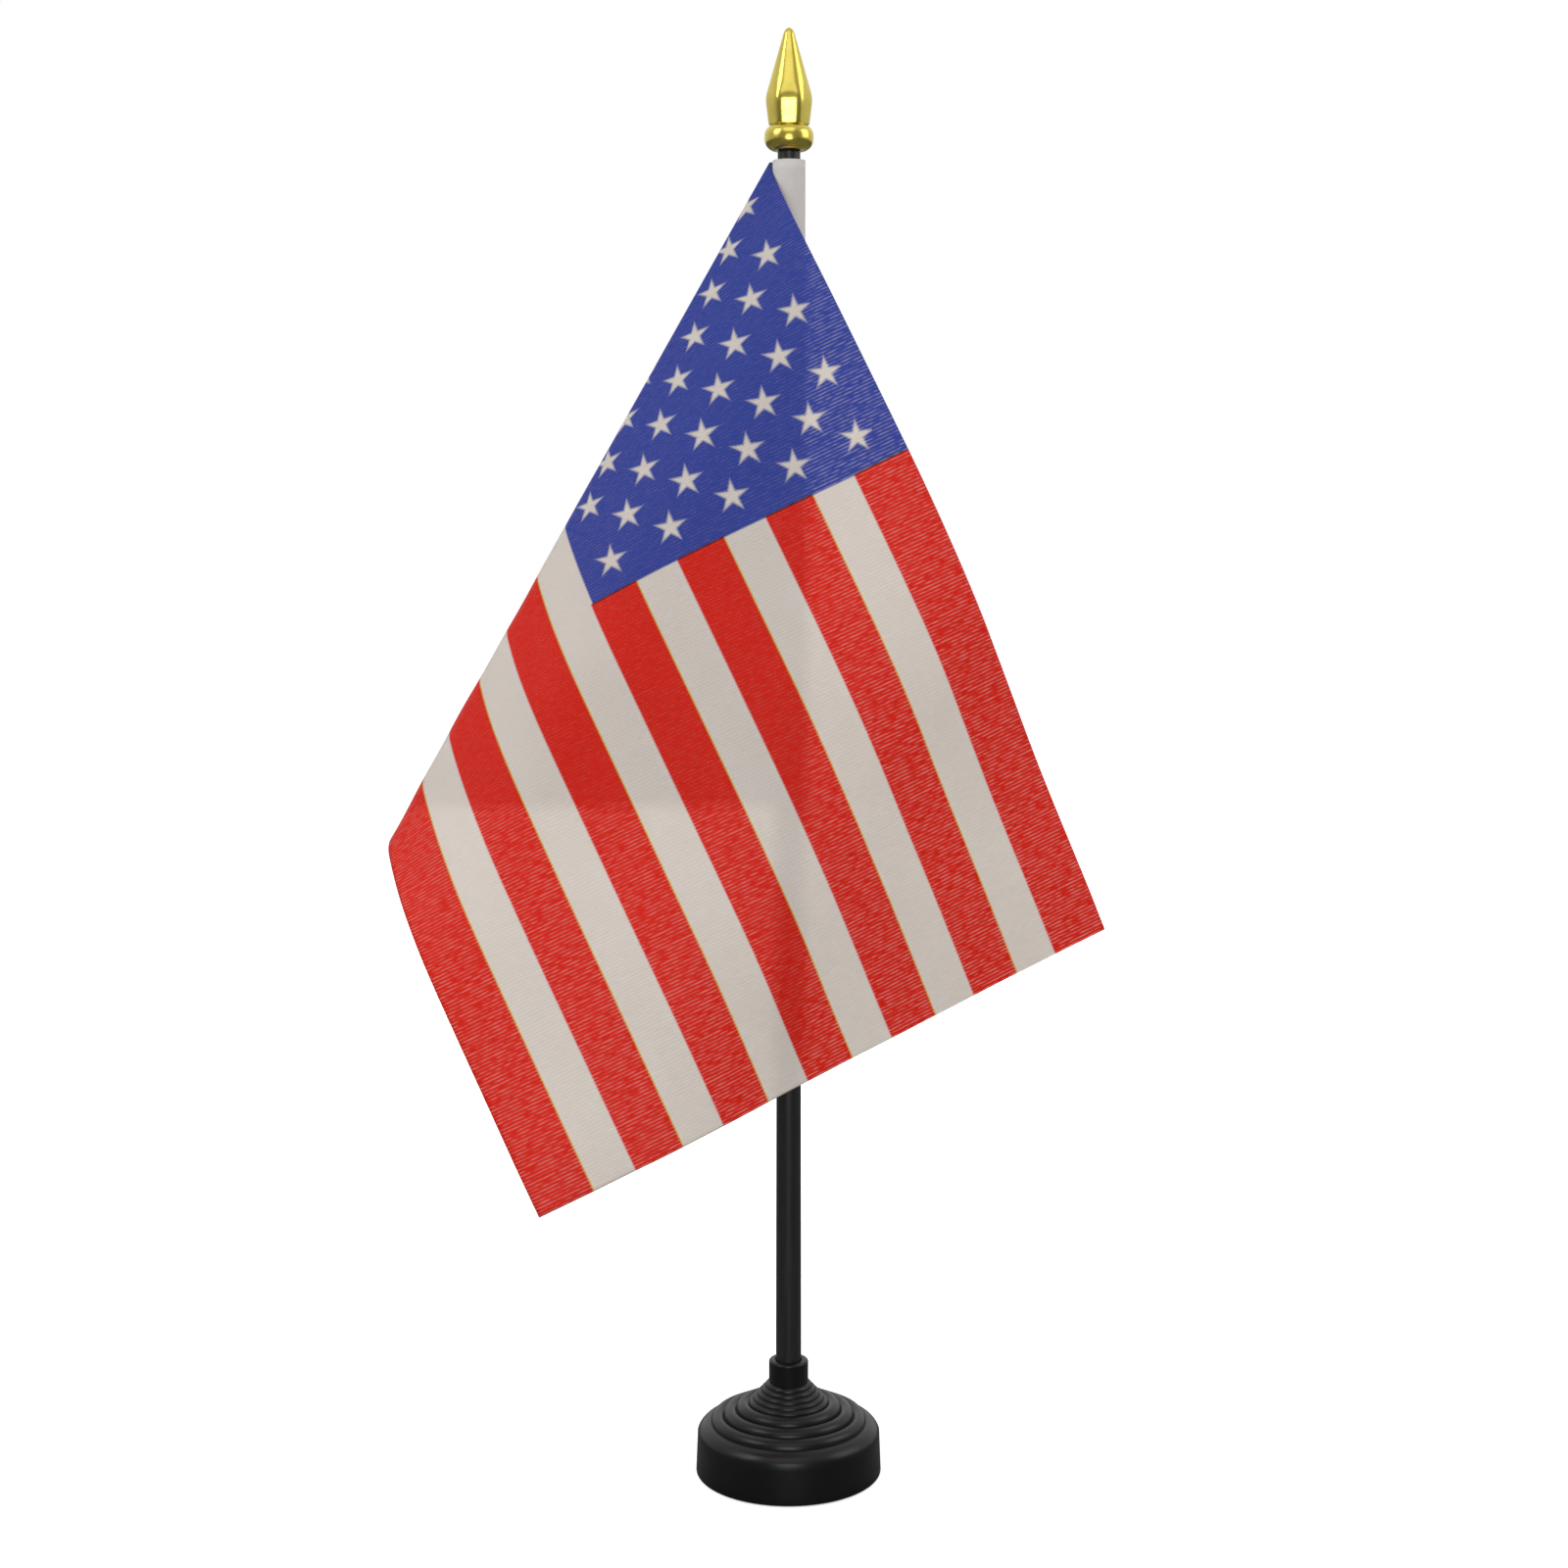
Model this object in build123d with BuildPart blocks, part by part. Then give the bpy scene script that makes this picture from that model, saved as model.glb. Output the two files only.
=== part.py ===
from build123d import *

import os
from math import ceil, cos, radians, sin

# A desk flag stand. The origin is the centre of the underside, +Z up, in millimetres.
# A moulded base holds a tapered stick with a plated spearhead on top, and a printed cloth
# flag hangs from the stick by a loose sleeve. The stick's axis is the Z axis.

os.makedirs("parts", exist_ok=True)

# --- Base -------------------------------------------------------------------------------
foot_radius = 22.4  # the skirt at the desk
skirt_top_radius = 22.0
foot_gap = 0.3  # the pad stands this far below the moulded rim
skirt_top = 10.4
shoulder_radius = 18.8  # the rounded shoulder ends and the rings begin
shoulder_height = 12.8
ring_count = 3
ring_inner_radius = 9.6
ring_top = 17.4
step_count = 5
collar_radius = 4.75
collar_foot = 22.8
collar_top = 28.4
collar_rounding = 0.5
wall = 1.9
roof_height = 9.5  # the inside of the shell, above the desk

# --- Pole and its socket ----------------------------------------------------------------
pole_foot_radius = 3.05
pole_top_radius = 2.5
pole_straight_end = 32.0  # the taper starts here
socket_floor = 3.4
socket_clearance = 0.08
socket_mouth_chamfer = 0.3
socket_boss_radius = 5.2
spigot_radius = 1.6
spigot_length = 10.0
spigot_clearance = 0.05
end_chamfer = 0.4

# --- Finial -----------------------------------------------------------------------------
tip_height = 334.0  # above the desk
head_sides = 6
tip_corner_radius = 0.85
shoulder_drop = 14.7  # from the tip down to the widest part of the head
head_corner_radius = 5.22
head_length = 20.35
head_end_corner_radius = 4.55
neck_radius = 3.9
bulb_drop = 23.1  # from the tip down to the widest part of the bulb
bulb_radius = 5.4
finial_length = 25.9
finial_foot_radius = 3.0

# --- Ballast and pad --------------------------------------------------------------------
pad_thickness = 1.2
ballast_thickness = 4.0
fit_gap = 0.2  # round the pad and the ballast

# --- Flag -------------------------------------------------------------------------------
hoist = 140.0  # the cloth's height at the pole
fly = 200.0  # from the start of the print to the free end
cloth_thickness = 0.3
sleeve_outer_radius = 3.3
sleeve_wall = 0.22
flag_top = 306.1

# The cloth hangs as one developable sheet: its straight lines, or rulings, stay straight and
# nothing stretches. Near the pole the rulings fan out from one point above the hoist edge,
# and past the fan they are parallel. Both stretches are chains of arcs.
fan_height = 13.2  # the fan point above the top edge
hoist_place = (3.4, 4.5)  # X and Y of the hoist edge, which is upright
hoist_heading = 185.7  # the way the cloth leaves it, in degrees from +X
fan_arcs = [  # degrees between the arc's rulings, and its turn in degrees
    (28.15, -10.9),
    (0.79, -12.6),
    (1.71, -47.6),
    (0.86, -12.2),
    (3.3, -2.4),
    (1.58, -41.1),
]
# The parallel rulings curl forward in these stretches, then lie almost flat: each stretch's
# width, and its turn for each millimetre in degrees.
curl_arcs = [(30.9, -1.17), (30.9, -0.17), (32.5, -0.72)]
flat_bend = 0.06
largest_turn = 6.0  # of one facet against the next, in degrees

# --- Seam -------------------------------------------------------------------------------
stitch_radius = 0.22
stitch_length = 2.0
stitch_pitch = 2.6
stitch_inset = 2.0  # from the hoist edge
stitch_count = 52


def make_base_shell():
    """The moulded base: rings and steps outside, an open underside and a blind socket."""
    ring_step = (shoulder_radius - ring_inner_radius) / ring_count
    ring_rise = (ring_top - shoulder_height) / ring_count
    step_in = (ring_inner_radius - collar_radius) / step_count
    step_rise = (collar_foot - ring_top) / step_count
    with BuildPart() as base_shell:
        with BuildSketch(Plane.XZ):
            with BuildLine():
                Polyline((0, foot_gap), (foot_radius, foot_gap), (skirt_top_radius, skirt_top))
                RadiusArc(
                    (skirt_top_radius, skirt_top), (shoulder_radius, shoulder_height), -3.6
                )
                for ring in range(ring_count):
                    radius = shoulder_radius - ring * ring_step
                    height = shoulder_height + ring * ring_rise
                    RadiusArc(
                        (radius, height),
                        (radius - ring_step, height + ring_rise),
                        -0.62 * ring_step,
                    )
                for step in range(step_count):
                    radius = ring_inner_radius - step * step_in
                    height = ring_top + step * step_rise
                    RadiusArc(
                        (radius, height), (radius - step_in, height + step_rise), -1.1 * step_in
                    )
                Polyline(
                    (collar_radius, collar_foot), (collar_radius, collar_top), (0, collar_top)
                )
                Line((0, collar_top), (0, foot_gap))
            make_face()
        revolve(axis=Axis.Z)
        fillet(base_shell.edges().group_by(Axis.Z)[-1], collar_rounding)
        with BuildSketch(Plane.XY.offset(foot_gap)):
            Circle(foot_radius - wall)
            Circle(socket_boss_radius, mode=Mode.SUBTRACT)
        extrude(amount=roof_height - foot_gap, mode=Mode.SUBTRACT)
        with BuildSketch(Plane.XY.offset(foot_gap)):
            Circle(socket_boss_radius)
        extrude(amount=pad_thickness - foot_gap, mode=Mode.SUBTRACT)
        with BuildSketch(Plane.XY.offset(socket_floor)):
            Circle(pole_foot_radius + socket_clearance)
        extrude(amount=collar_top - socket_floor, mode=Mode.SUBTRACT)
        mouth = base_shell.edges().group_by(Axis.Z)[-1].sort_by(SortBy.RADIUS)[0]
        chamfer(mouth, socket_mouth_chamfer)
    base_shell.part.label = "base_shell"
    return base_shell.part


def make_ballast_disc():
    """A steel ring that lies on the pad, round the socket's boss."""
    with BuildPart() as ballast_disc:
        with BuildSketch(Plane.XY.offset(pad_thickness)):
            Circle(foot_radius - wall - fit_gap)
            Circle(socket_boss_radius + fit_gap, mode=Mode.SUBTRACT)
        extrude(amount=ballast_thickness)
    ballast_disc.part.label = "ballast_disc"
    return ballast_disc.part


def make_base_pad():
    """The non-slip disc that closes the underside."""
    with BuildPart() as base_pad:
        with BuildSketch():
            Circle(foot_radius - wall - fit_gap)
        extrude(amount=pad_thickness)
    base_pad.part.label = "base_pad"
    return base_pad.part


def make_pole():
    """The stick: straight in the socket, tapered above it, with a spigot for the finial."""
    pole_top = tip_height - finial_length
    with BuildPart() as pole:
        with BuildSketch(Plane.XZ):
            with BuildLine():
                Polyline(
                    (0, socket_floor),
                    (pole_foot_radius, socket_floor),
                    (pole_foot_radius, pole_straight_end),
                    (pole_top_radius, pole_top),
                    (spigot_radius, pole_top),
                    (spigot_radius, pole_top + spigot_length),
                    (0, pole_top + spigot_length),
                    close=True,
                )
            make_face()
        revolve(axis=Axis.Z)
        ends = pole.edges().filter_by(GeomType.CIRCLE).group_by(Axis.Z)
        chamfer(ends[0] + ends[-1], end_chamfer)
    pole.part.label = "pole"
    return pole.part


def make_finial():
    """A six-sided spearhead on a round bulb, with a blind bore for the pole's spigot."""
    foot_height = tip_height - finial_length
    head_foot = tip_height - head_length
    shoulder = tip_height - shoulder_drop
    with BuildPart() as finial:
        for low, high, low_radius, high_radius in (
            (head_foot, shoulder, head_end_corner_radius, head_corner_radius),
            (shoulder, tip_height, head_corner_radius, tip_corner_radius),
        ):
            for height, radius in ((low, low_radius), (high, high_radius)):
                with BuildSketch(Plane.XY.offset(height)):
                    RegularPolygon(radius, head_sides)
            loft()
        with BuildSketch(Plane.XZ):
            with BuildLine():
                ThreePointArc(
                    (neck_radius, head_foot),
                    (bulb_radius, tip_height - bulb_drop),
                    (finial_foot_radius, foot_height),
                )
                Polyline(
                    (finial_foot_radius, foot_height),
                    (0, foot_height),
                    (0, head_foot),
                    (neck_radius, head_foot),
                )
            make_face()
        revolve(axis=Axis.Z)
        with BuildSketch(Plane.XY.offset(foot_height)):
            Circle(spigot_radius + spigot_clearance)
        extrude(amount=spigot_length + fit_gap, mode=Mode.SUBTRACT)
    finial.part.label = "finial"
    return finial.part


def make_flag_sleeve():
    """The hoist end of the cloth, turned round the pole as a loose tube."""
    with BuildPart() as flag_sleeve:
        with BuildSketch(Plane.XY.offset(flag_top - hoist)):
            Circle(sleeve_outer_radius)
            Circle(sleeve_outer_radius - sleeve_wall, mode=Mode.SUBTRACT)
        extrude(amount=hoist)
    flag_sleeve.part.label = "flag_sleeve"
    return flag_sleeve.part


def turned(vector, axis, angle):
    """The vector turned about an axis through the origin, by an angle in degrees."""
    return vector.rotate(Axis((0, 0, 0), axis), angle)


def facets_in(length, turn, longest):
    """How many equal facets an arc takes."""
    return max(ceil(abs(turn) / largest_turn), ceil(length / longest))


def flag_rulings():
    """Each ruling as its end on the top edge, its other end, and the sheet's normal there."""
    low_edge = hoist + fan_height
    point = Vector(*hoist_place, flag_top + fan_height)
    along = Vector(0, 0, -1)
    across = Vector(cos(radians(hoist_heading)), sin(radians(hoist_heading)), 0)
    angle = 0.0
    rulings = []

    def add_fan_ruling():
        near = fan_height / cos(radians(angle))
        far = low_edge / cos(radians(angle))
        rulings.append((point + along * near, point + along * far, along.cross(across)))

    add_fan_ruling()
    for width, turn in fan_arcs:
        count = facets_in(width, turn, 5.0)
        for _ in range(count):
            axle = along.cross(across) + along * (turn / width)
            step = axle.length * width / count
            along, across = turned(along, axle, step), turned(across, axle, step)
            angle += width / count
            add_fan_ruling()

    slope, reach = cos(radians(angle)), sin(radians(angle))
    free_corner = fly * slope - low_edge * reach
    sheet_end = fly * slope - fan_height * reach
    distance, arc_end = 0.0, 0.0
    stretches = []
    for width, bend in [*curl_arcs, (sheet_end - sum(width for width, _ in curl_arcs), flat_bend)]:
        if arc_end < free_corner < arc_end + width:
            stretches += [(free_corner - arc_end, bend), (arc_end + width - free_corner, bend)]
        else:
            stretches.append((width, bend))
        arc_end += width
    for width, bend in stretches:
        count = facets_in(width, width * bend, 20.0)
        for _ in range(count):
            step = width / count
            heading = turned(across, along, step * bend / 2)
            chord = step * sin(radians(step * bend / 2)) / radians(step * bend / 2)
            point = point + heading * chord
            across = turned(across, along, step * bend)
            distance += step
            near = (fan_height + distance * reach) / slope
            far = min((low_edge + distance * reach) / slope, (fly - distance * slope) / reach)
            rulings.append((point + along * near, point + along * far, along.cross(across)))
    return rulings


def make_flag_cloth():
    """The printed cloth: a closed shell of flat facets, each between two rulings."""
    half = cloth_thickness / 2
    rulings = flag_rulings()
    front, back = (
        [(near + normal * side, far + normal * side) for near, far, normal in rulings]
        for side in (half, -half)
    )
    loops = []
    for (a, b), (d, c) in zip(front[:-1], front[1:]):
        loops += [(a, b, c), (a, c, d)]
    for (a, b), (d, c) in zip(back[:-1], back[1:]):
        loops += [(a, c, b), (a, d, c)]
    for end in (0, 1):
        for i in range(len(rulings) - 1):
            a, b, c, d = front[i][end], front[i + 1][end], back[i + 1][end], back[i][end]
            loops += [(a, b, c), (a, c, d)]
    a, b = front[0]
    d, c = back[0]
    loops += [(a, b, c), (a, c, d)]
    # The last ruling is the free top corner itself, where facets shrink to nothing.
    facets = [
        Face(Wire.make_polygon(loop))
        for loop in loops
        if (loop[1] - loop[0]).cross(loop[2] - loop[0]).length > 1e-4
    ]
    with BuildPart() as flag_cloth:
        add(Solid(Shell(facets)))
    flag_cloth.part.label = "flag_cloth"
    return flag_cloth.part


def make_seam_stitches():
    """The row of stitches that closes the sleeve, one short thread for each stitch."""
    heading = radians(hoist_heading)
    seam_x = hoist_place[0] + stitch_inset * cos(heading)
    seam_y = hoist_place[1] + stitch_inset * sin(heading)
    first = flag_top - (hoist - (stitch_count - 1) * stitch_pitch) / 2
    with BuildPart() as seam_stitches:
        with Locations(*[(seam_x, seam_y, first - i * stitch_pitch) for i in range(stitch_count)]):
            Cylinder(stitch_radius, stitch_length)
    seam_stitches.part.label = "seam_stitches"
    return seam_stitches.part


for piece in (
    make_base_shell(),
    make_ballast_disc(),
    make_base_pad(),
    make_pole(),
    make_finial(),
    make_flag_sleeve(),
    make_flag_cloth(),
    make_seam_stitches(),
):
    export_step(piece, f"parts/{piece.label}.step")
    box = piece.bounding_box()
    print(piece.label, "volume", round(piece.volume), "mm3, size", box.size, "low", box.min)
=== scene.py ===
# %% [markdown]
# # A desk flag stand
#
# A moulded black base holds a slim black stick. A gold-plated spearhead sits on the stick, and
# a printed cloth flag hangs from it by a loose sleeve. The cloth passes behind the stick,
# folds back on the left and curls round to the front, so it is one sheet in two layers.
#
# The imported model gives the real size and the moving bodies. Each cell here takes one piece
# and gives it its finished surface.

import bpy
import numpy as np
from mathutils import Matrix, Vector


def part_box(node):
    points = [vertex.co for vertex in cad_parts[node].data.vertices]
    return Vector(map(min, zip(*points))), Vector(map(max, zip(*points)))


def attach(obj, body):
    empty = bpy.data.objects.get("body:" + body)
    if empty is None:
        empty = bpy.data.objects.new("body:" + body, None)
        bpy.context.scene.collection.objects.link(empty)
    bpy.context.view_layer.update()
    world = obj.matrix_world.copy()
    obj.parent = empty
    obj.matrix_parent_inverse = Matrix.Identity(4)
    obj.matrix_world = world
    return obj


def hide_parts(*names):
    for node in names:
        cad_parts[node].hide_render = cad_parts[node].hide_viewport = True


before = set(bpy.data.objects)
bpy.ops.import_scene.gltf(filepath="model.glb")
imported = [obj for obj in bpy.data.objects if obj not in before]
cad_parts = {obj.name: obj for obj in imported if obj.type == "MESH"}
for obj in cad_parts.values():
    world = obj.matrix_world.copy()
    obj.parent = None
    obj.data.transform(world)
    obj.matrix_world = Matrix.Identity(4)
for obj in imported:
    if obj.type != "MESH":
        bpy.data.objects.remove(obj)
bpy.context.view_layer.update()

MM = 0.001  # the pieces are worked out in millimetres and stored in metres

# %% [markdown]
# ## Helpers for shapes
#
# Every new piece is a grid of points: rows and columns worked out as whole arrays. A lathe
# turns a profile round the stick's axis, and a tube carries a small circle along a path. One
# function turns any such grid into a mesh. It joins points that fall on each other, so a pole
# or a seam closes without a special case, and it checks the direction of the faces by the
# sign of the volume that they enclose.


# %% Grids to meshes
def grid_faces(rows, columns, closed):
    """Quads between neighbouring rows and columns; a closed grid joins its last column to its first."""
    row = np.arange(rows - 1)[:, None]
    column = np.arange(columns if closed else columns - 1)[None, :]
    after = (column + 1) % columns
    corners = [
        row * columns + column,
        row * columns + after,
        (row + 1) * columns + after,
        (row + 1) * columns + column,
    ]
    return np.stack(np.broadcast_arrays(*corners), axis=-1).reshape(-1, 4)


def enclosed_volume(mesh):
    """The sum, over triangles, of a sixth of each one's corners' triple product."""
    mesh.calc_loop_triangles()
    places = np.zeros(len(mesh.vertices) * 3)
    mesh.vertices.foreach_get("co", places)
    corners = np.zeros(len(mesh.loop_triangles) * 3, dtype=np.int32)
    mesh.loop_triangles.foreach_get("vertices", corners)
    a, b, c = np.moveaxis(places.reshape(-1, 3)[corners.reshape(-1, 3)], 1, 0)
    return float(np.einsum("ij,ij->", a, np.cross(b, c)) / 6)


def piece_from_grid(name, grids, materials, closed=True, solid=True, crease=32.0, flat_grids=None):
    """Makes one object from grids of points in millimetres. Points that coincide become one
    vertex. flat_grids gives each point's place on the flat cloth, in metres, as the UV map."""
    points, faces, count = [], [], 0
    for grid in grids:
        rows, columns = grid.shape[:2]
        faces.append(grid_faces(rows, columns, closed) + count)
        points.append(grid.reshape(-1, 3))
        count += rows * columns
    points, faces = np.concatenate(points), np.concatenate(faces)
    _, first, same = np.unique(np.round(points * 1e4), axis=0, return_index=True, return_inverse=True)
    corners = [tuple(dict.fromkeys(face)) for face in same.reshape(-1)[faces].tolist()]
    mesh = bpy.data.meshes.new(name)
    mesh.from_pydata((points[first] * MM).tolist(), [], [face for face in corners if len(face) > 2])
    if flat_grids is not None:
        flat = np.concatenate([grid.reshape(-1, 2) for grid in flat_grids])[first]
        vertex = np.zeros(len(mesh.loops), dtype=np.int32)
        mesh.loops.foreach_get("vertex_index", vertex)
        mesh.uv_layers.new(name="flat_cloth").data.foreach_set("uv", flat[vertex].reshape(-1))
    if solid and enclosed_volume(mesh) < 0:
        mesh.flip_normals()
    mesh.shade_smooth()
    mesh.set_sharp_from_angle(angle=np.radians(crease))
    piece = bpy.data.objects.new(name, mesh)
    bpy.context.scene.collection.objects.link(piece)
    for material in materials:
        mesh.materials.append(material)
    print(f"{name}: {len(mesh.vertices)} vertices, {len(mesh.polygons)} faces")
    return piece


def lathe(profile, columns):
    """Turns a profile of radius and height round the Z axis into a grid of points."""
    angle = np.linspace(0, 2 * np.pi, columns, endpoint=False)
    radius, height = profile[:, :1], np.broadcast_to(profile[:, 1:], (len(profile), columns))
    return np.stack([radius * np.cos(angle), radius * np.sin(angle), height], axis=-1)


def arc(start, end, rise, steps=7):
    """Points on the circle through start and end whose middle stands off the chord, to the
    right of the way along it, by rise. The angle runs evenly from minus half to plus half."""
    start, end = np.array(start, float), np.array(end, float)
    chord = np.linalg.norm(end - start)
    half = 2 * np.arctan2(2 * rise, chord)
    radius = chord / 2 / np.sin(half)
    along = (end - start) / chord
    right = np.array([along[1], -along[0]])
    angle = half * np.linspace(-1, 1, steps + 1)[:, None]
    middle = (start + end) / 2
    return middle + along * radius * np.sin(angle) + right * radius * (np.cos(angle) - np.cos(half))


def straight(start, end, steps=1):
    """Points at even spacing from start to end."""
    return np.linspace(start, end, steps + 1)


# %% [markdown]
# ## Helpers for materials
#
# A material is built from nodes in code. One function adds a node, sets it up and links its
# inputs. Colours are given as sRGB hex codes, the way a paint or ink chart lists them, and one
# function turns them into the linear values that a shader works in.


# %% Colours and nodes
def linear(code):
    """An sRGB hex code as linear red, green and blue, with an alpha of 1."""
    channel = np.array([int(code[i : i + 2], 16) for i in (1, 3, 5)]) / 255
    value = np.where(channel <= 0.04045, channel / 12.92, ((channel + 0.055) / 1.055) ** 2.4)
    return (*value.tolist(), 1.0)


def new_material(name):
    """A material whose node tree is still empty."""
    material = bpy.data.materials.new(name)
    material.use_nodes = True
    material.node_tree.nodes.clear()
    return material


def add(owner, kind, inputs=None, **settings):
    """Adds one node. Settings are its attributes, and each input gets a plain value or a link
    from another node: its first output, or the output that is named."""
    node = owner.node_tree.nodes.new("ShaderNode" + kind)
    for setting, value in settings.items():
        setattr(node, setting, value)
    for socket, value in (inputs or {}).items():
        if isinstance(value, bpy.types.Node):
            value = value.outputs[0]
        if isinstance(value, bpy.types.NodeSocket):
            owner.node_tree.links.new(value, node.inputs[socket])
        else:
            node.inputs[socket].default_value = value
    return node


# %% [markdown]
# ## Satin black ABS
#
# The base is injection-moulded ABS, coloured black. The mould's surface is lightly blasted, so
# the plastic is satin: highlights are soft-edged and the body colour stays a deep neutral
# black. What gives it life is fine: a grain of about a third of a millimetre, a slow change of
# gloss where the plastic flowed, and a little pale dust and handling wear.

# %% Base plastic
BLASTED_GRAIN = 0.30 * MM
FLOW_MARKS = 9 * MM
SCUFFS = 2.2 * MM

base_plastic = new_material("satin_black_moulded_abs")
place = add(base_plastic, "TexCoord").outputs["Object"]
grain = add(base_plastic, "TexNoise", {"Vector": place, "Scale": 1 / BLASTED_GRAIN, "Detail": 2.0})
flow = add(base_plastic, "TexNoise", {"Vector": place, "Scale": 1 / FLOW_MARKS, "Detail": 3.0})
scuffs = add(
    base_plastic,
    "TexNoise",
    {"Vector": place, "Scale": 1 / SCUFFS, "Detail": 6.0, "Roughness": 0.7, "Distortion": 0.6},
)
worn = add(
    base_plastic,
    "MapRange",
    {"Value": scuffs, "From Min": 0.60, "From Max": 0.78, "To Min": 0.0, "To Max": 0.35},
)
body_colour = add(
    base_plastic,
    "MixRGB",
    {"Fac": worn, "Color1": linear("#0D0D0D"), "Color2": linear("#201F1E")},
)
gloss = add(
    base_plastic,
    "MapRange",
    {"Value": flow, "From Min": 0.3, "From Max": 0.7, "To Min": 0.27, "To Max": 0.37},
)
rougher = add(base_plastic, "Math", {0: worn, 1: 0.4, 2: gloss}, operation="MULTIPLY_ADD")
relief = add(
    base_plastic,
    "Bump",
    {"Strength": 0.25, "Distance": 0.02 * MM, "Height": grain},
)
surface = add(
    base_plastic,
    "BsdfPrincipled",
    {
        "Base Color": body_colour,
        "Roughness": rougher,
        "IOR": 1.52,
        "Specular IOR Level": 0.28,
        "Normal": relief,
    },
)
add(base_plastic, "OutputMaterial", {"Surface": surface})
print("made", base_plastic.name)

# %% [markdown]
# ## The base
#
# The base is a body of revolution, so one profile says everything. A skirt rises to a rounded
# shoulder, three half-round rings climb inwards, a flare of five small steps leads up to a
# plain collar, and the stick stands in the collar's mouth. Underneath it is hollow, with a
# boss round the socket. A lathe modifier could turn the profile, and so could a bevelled
# stack of cylinders, but writing the profile as arcs and turning it in numpy gives the rings
# their crisp valleys and closes the whole shell, inside and out, in one grid.

# %% Base shell
shell_low, shell_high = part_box("base_shell")
foot_height, collar_top = shell_low.z / MM, shell_high.z / MM
foot_radius = shell_high.x / MM
skirt_top = (22.0, 10.4)
shoulder_end = (18.8, 12.8)
rings_end = (9.6, 17.4)
flare_end = (4.75, 22.8)
ring_count, step_count = 3, 5
wall, roof = 1.9, 9.5
boss_radius, boss_foot = 5.2, 1.2
socket_radius, socket_floor = 3.13, 3.4


def arc_flight(start, end, count, rise):
    """A flight of equal arcs from start to end, each standing off its chord by rise."""
    corners = straight(start, end, count)
    return np.concatenate([arc(a, b, rise) for a, b in zip(corners[:-1], corners[1:])])


shell_profile = np.concatenate(
    [
        straight((0, socket_floor), (socket_radius, socket_floor)),
        straight((socket_radius, collar_top - 0.35), (socket_radius + 0.1, collar_top - 0.12)),
        arc((socket_radius + 0.16, collar_top - 0.04), (flare_end[0] - 0.75, collar_top), -0.05, 3),
        arc((flare_end[0] - 0.6, collar_top - 0.01), (flare_end[0], collar_top - 0.75), -0.22),
        straight((flare_end[0], collar_top - 1.2), flare_end, 3),
        arc_flight(rings_end, flare_end, step_count, 0.285)[::-1],
        arc_flight(shoulder_end, rings_end, ring_count, 1.08)[::-1],
        arc(skirt_top, shoulder_end, 0.607, 9)[::-1],
        straight(skirt_top, (foot_radius, foot_height + 0.5), 6),
        arc((foot_radius, foot_height + 0.4), (foot_radius - 0.4, foot_height), -0.12, 4),
        straight((foot_radius - wall + 0.2, foot_height), (foot_radius - wall, foot_height + 0.2)),
        straight((foot_radius - wall, roof - 0.6), (foot_radius - wall - 0.6, roof)),
        straight((boss_radius + 0.5, roof), (boss_radius, roof - 0.5)),
        straight((boss_radius, boss_foot), (0, boss_foot)),
    ]
)
base_shell = piece_from_grid("moulded_base", [lathe(shell_profile, 160)], [base_plastic])
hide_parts("base_shell")
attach(base_shell, "base")

# %% [markdown]
# ## Under the base
#
# Nothing of the ballast or the pad shows while the stand is on a desk. Both are plain discs
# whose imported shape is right, so they stay and only get their finish: a zinc-plated steel ring
# with the soft crystals of the plating, and a non-slip sheet of EVA foam with fine closed
# cells.

# %% Ballast steel
SPANGLE = 1.6 * MM
CELL = 0.35 * MM

ballast_steel = new_material("zinc_plated_steel")
place = add(ballast_steel, "TexCoord").outputs["Object"]
crystals = add(ballast_steel, "TexVoronoi", {"Vector": place, "Scale": 1 / SPANGLE})
tone = add(
    ballast_steel,
    "MixRGB",
    {"Fac": crystals.outputs["Distance"], "Color1": linear("#B9BCC0"), "Color2": linear("#9A9DA1")},
)
dull = add(
    ballast_steel,
    "MapRange",
    {"Value": crystals.outputs["Distance"], "To Min": 0.28, "To Max": 0.46},
)
surface = add(
    ballast_steel, "BsdfPrincipled", {"Base Color": tone, "Roughness": dull, "Metallic": 1.0}
)
add(ballast_steel, "OutputMaterial", {"Surface": surface})

# %% Pad foam
pad_foam = new_material("black_eva_foam_sheet")
place = add(pad_foam, "TexCoord").outputs["Object"]
cells = add(pad_foam, "TexVoronoi", {"Vector": place, "Scale": 1 / CELL})
# Painted shade: each cell's centre, the low pit of the bump, is painted darker than its rim.
pit_shaded_cell_tone = add(
    pad_foam,
    "MixRGB",
    {"Fac": cells.outputs["Distance"], "Color1": linear("#141414"), "Color2": linear("#262626")},
)
relief = add(
    pad_foam,
    "Bump",
    {"Strength": 0.6, "Distance": 0.05 * MM, "Height": cells.outputs["Distance"]},
)
surface = add(
    pad_foam,
    "BsdfPrincipled",
    {"Base Color": pit_shaded_cell_tone, "Roughness": 0.85, "Specular IOR Level": 0.3, "Normal": relief},
)
add(pad_foam, "OutputMaterial", {"Surface": surface})

for node, finish in (("ballast_disc", ballast_steel), ("base_pad", pad_foam)):
    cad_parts[node].data.materials.clear()
    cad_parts[node].data.materials.append(finish)
    print(node, "gets", finish.name)

# %% [markdown]
# ## The stick
#
# The stick is a second moulding, in black polystyrene, which is a little glossier than the
# base. It is straight where it stands in the collar and tapers from there to the top. Two mould
# halves met along it, so a hairline of flash runs up each side, and the plastic's flow leaves
# faint streaks along its length.

# %% Stick plastic
STREAK = 0.5 * MM
STREAK_LENGTH = 30  # times a streak's width

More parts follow.
